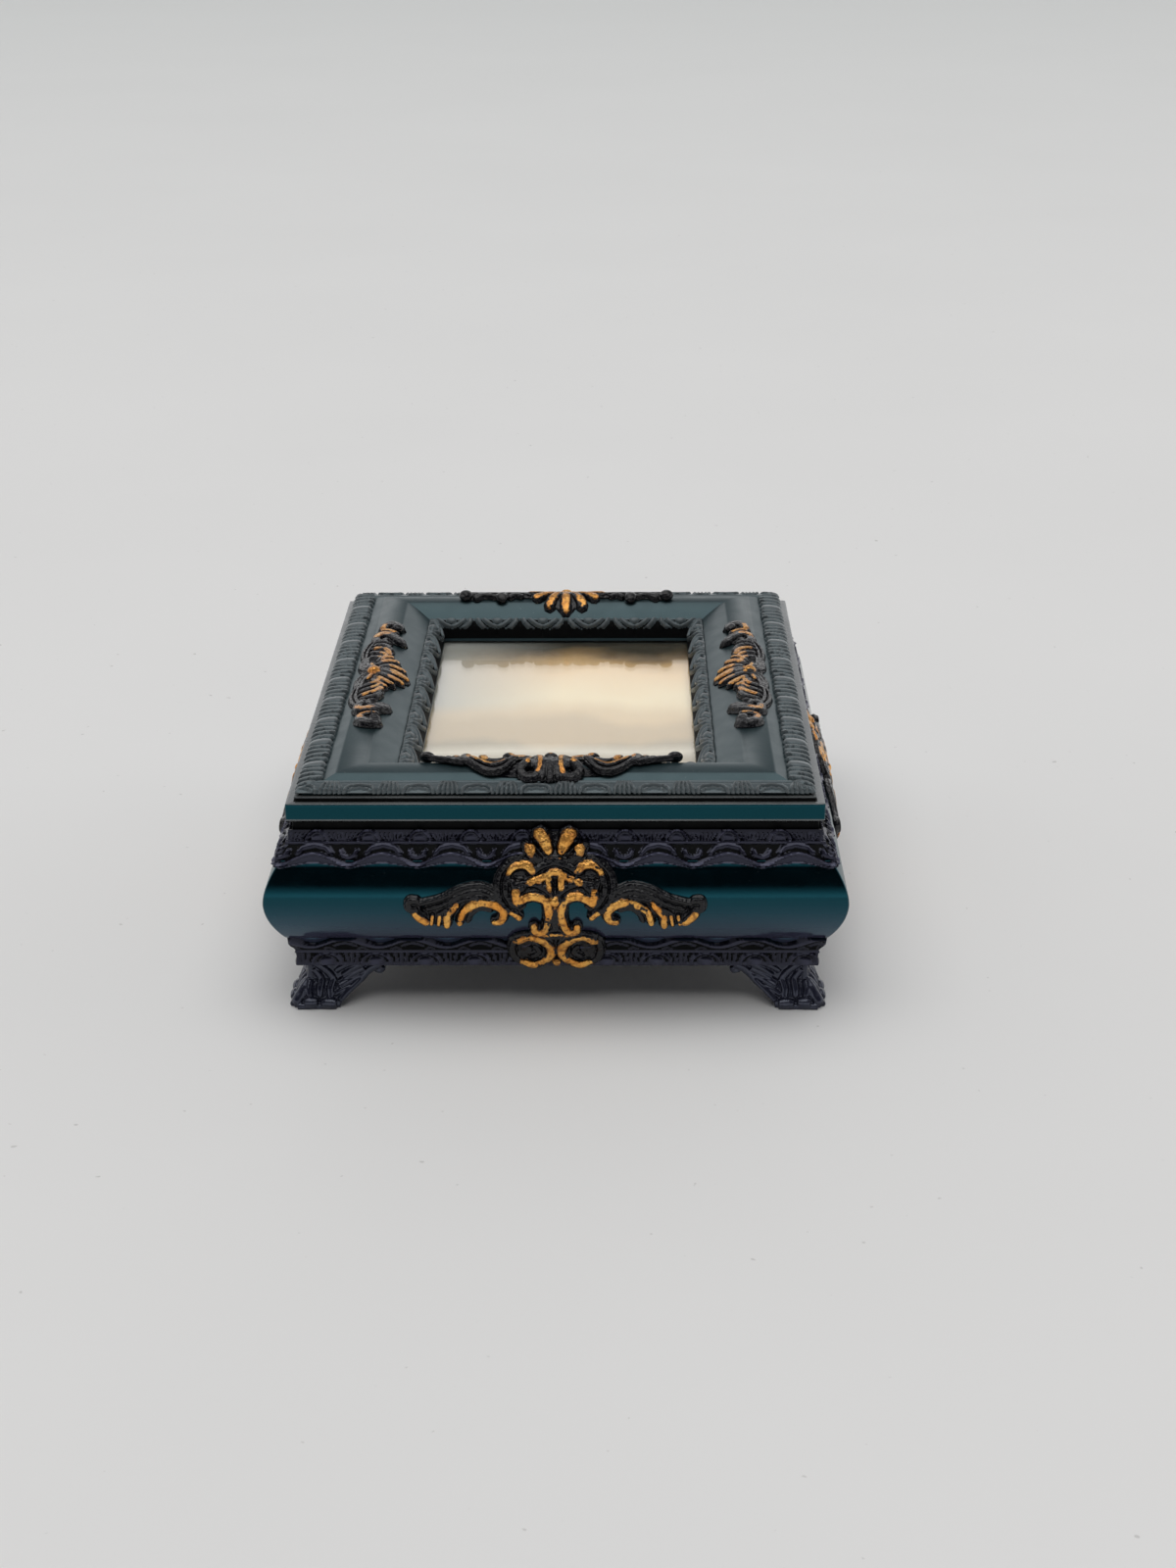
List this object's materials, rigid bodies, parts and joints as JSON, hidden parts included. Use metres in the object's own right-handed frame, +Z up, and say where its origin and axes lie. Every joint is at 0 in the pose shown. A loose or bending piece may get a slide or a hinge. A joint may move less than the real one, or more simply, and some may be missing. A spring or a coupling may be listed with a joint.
{
  "type": "jewellery box",
  "caption": "Footed jewellery box with bulging sides, gilded scroll castings and a hinged lid that frames a picture under glass.",
  "frame": {"origin": "on the ground under the middle of the box", "axes": "+X to the right of the front, +Y to the back, +Z up"},
  "size_m": [0.1182, 0.1308, 0.0502],
  "materials": {
    "body_resin": "near-black blue-green cast resin, glossy",
    "lid_resin": "dark teal cast resin, glossy",
    "frame_resin": "slate grey-green cast resin, smooth satin, with matte carved mouldings",
    "gilded_casting": "black resin with gilding brushed on the raised parts",
    "pane_glass": "clear, polished",
    "picture_print": "semi-gloss print of a plain misty landscape",
    "backing_card": "plain grey-brown board",
    "lining_velvet": "short-pile velvet on card",
    "hinge_brass": "plain stamped brass"
  },
  "bodies": {
    "box": {"body_shell": "body_resin", "foot_front_right": "body_resin", "foot_front_left": "body_resin", "foot_back_right": "body_resin", "foot_back_left": "body_resin", "floor_lining": "lining_velvet", "lining_front": "lining_velvet", "lining_back": "lining_velvet", "lining_left": "lining_velvet", "lining_right": "lining_velvet", "cartouche_front": "gilded_casting", "cartouche_right": "gilded_casting", "cartouche_back": "gilded_casting", "cartouche_left": "gilded_casting", "hinge_left_body_leaf": "hinge_brass", "hinge_left_pin": "hinge_brass", "hinge_left_body_screw_1": "hinge_brass", "hinge_left_body_screw_2": "hinge_brass", "hinge_right_body_leaf": "hinge_brass", "hinge_right_pin": "hinge_brass", "hinge_right_body_screw_1": "hinge_brass", "hinge_right_body_screw_2": "hinge_brass"},
    "lid": {"lid_tray": "lid_resin", "picture_frame": "frame_resin", "glass_pane": "pane_glass", "picture_card": "picture_print", "backing_board": "backing_card", "lid_lining": "lining_velvet", "lid_ornament_front": "gilded_casting", "lid_ornament_right": "gilded_casting", "lid_ornament_back": "gilded_casting", "lid_ornament_left": "gilded_casting", "hinge_left_lid_leaf": "hinge_brass", "hinge_left_lid_screw_1": "hinge_brass", "hinge_left_lid_screw_2": "hinge_brass", "hinge_right_lid_leaf": "hinge_brass", "hinge_right_lid_screw_1": "hinge_brass", "hinge_right_lid_screw_2": "hinge_brass"}
  },
  "joints": [
    {"name": "lid_hinge", "type": "hinge", "parent": "box", "child": "lid", "pos_m": [0, 0.0596, 0.04055], "axis": [-1, 0, 0], "range_deg": [0, 100]}
  ]
}
